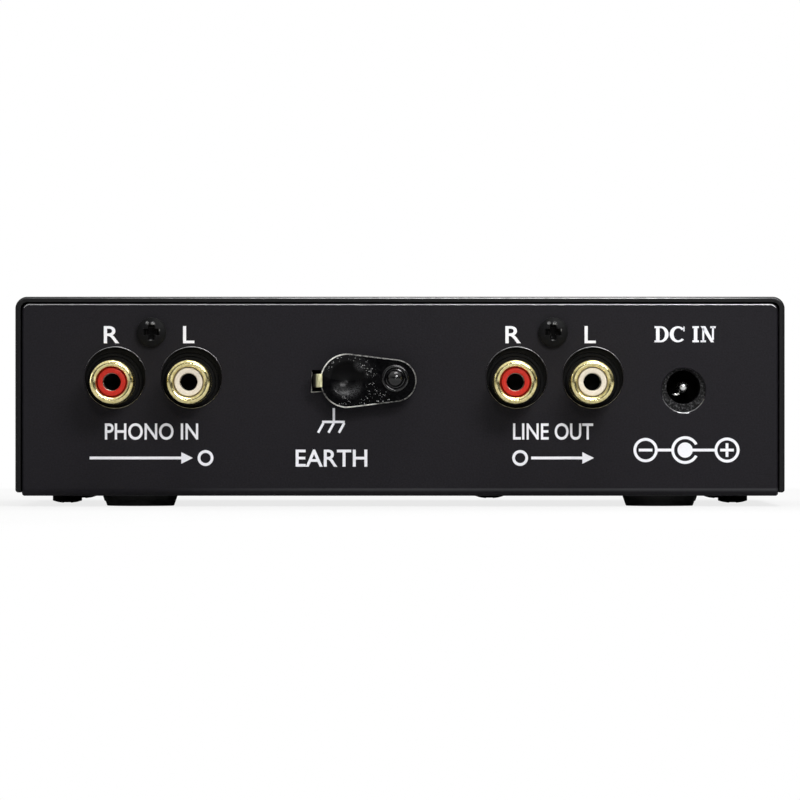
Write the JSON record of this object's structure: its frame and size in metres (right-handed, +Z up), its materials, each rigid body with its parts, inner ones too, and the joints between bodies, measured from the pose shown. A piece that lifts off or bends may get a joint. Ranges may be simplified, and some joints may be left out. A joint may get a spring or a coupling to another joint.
{
  "type": "phono preamp",
  "caption": "Small phono preamplifier in a folded black steel case, with gold phono jacks, a sprung ground clip and a power jack at the back, and a level knob and power light in front.",
  "frame": {"origin": "on the surface the feet stand on, under the middle of the case", "axes": "+Z up; the front panel with the knob faces -Y and the rear panel with the jacks faces +Y; +X is to the right seen from the front, where the input jacks are"},
  "size_m": [0.146, 0.114, 0.0398],
  "materials": {
    "case_paint": "fine satin black powder coat",
    "black_screw": "black zinc, semi-gloss",
    "rubber": "matt black rubber",
    "board_green": "green solder mask",
    "nickel": "bright nickel plate",
    "gold": "gold plate, polished",
    "black_plastic": "moulded black plastic",
    "red_plastic": "moulded red plastic",
    "cream_plastic": "moulded cream white plastic",
    "clip_paint": "gloss black paint with bare cut edges",
    "brass_strip": "tinned brass strip",
    "spring_steel": "spring steel wire",
    "wire_green": "green PVC insulation",
    "chip_black": "moulded epoxy",
    "can_sleeve": "shrunk plastic sleeve",
    "film_red": "dipped epoxy",
    "resistor_blue": "lacquered body",
    "lens_blue": "clear tinted epoxy",
    "control_metal": "plated control body",
    "knob_black": "matt black knob",
    "print_white": "white screen print"
  },
  "bodies": {
    "case": {"chassis": "case_paint", "top_cover": "case_paint", "cover_screws": "black_screw", "feet": "rubber", "circuit_board": "board_green", "board_spacer": "brass_strip", "board_screws": "black_screw", "input_jack_housing": "black_plastic", "output_jack_housing": "black_plastic", "input_jack_shells": "gold", "output_jack_shells": "gold", "right_insulators": "red_plastic", "left_insulators": "cream_plastic", "centre_contacts": "nickel", "jack_screws": "black_screw", "power_jack_housing": "black_plastic", "power_jack_pin": "nickel", "power_jack_leaf": "nickel", "ground_strip": "brass_strip", "ground_rivet": "clip_paint", "ground_spring": "spring_steel", "ground_wire": "wire_green", "amplifier_chips": "chip_black", "supply_capacitors": "can_sleeve", "signal_capacitors": "can_sleeve", "film_capacitors": "film_red", "resistors": "resistor_blue", "voltage_regulator": "chip_black", "rectifier_diode": "chip_black", "power_light": "lens_blue", "light_bezel": "black_plastic", "level_control": "control_metal", "level_washer": "nickel", "level_nut": "nickel"},
    "clip_lever": {"ground_lever": "clip_paint"},
    "level_dial": {"level_shaft": "control_metal", "level_knob": "knob_black"}
  },
  "joints": [
    {"name": "clip_press", "type": "hinge", "parent": "case", "child": "clip_lever", "pos_m": [-0.00272, 0.04725, 0.02385], "axis": [0, 0, -1], "range_deg": [0, 6.5], "stiffness_Nm_per_rad": 0.05, "springref_deg": -11.46, "deforming": ["ground_spring"]},
    {"name": "level_turn", "type": "hinge", "parent": "case", "child": "level_dial", "pos_m": [0.042, -0.05, 0.022], "axis": [0, 1, 0], "range_deg": [-150, 150]}
  ]
}
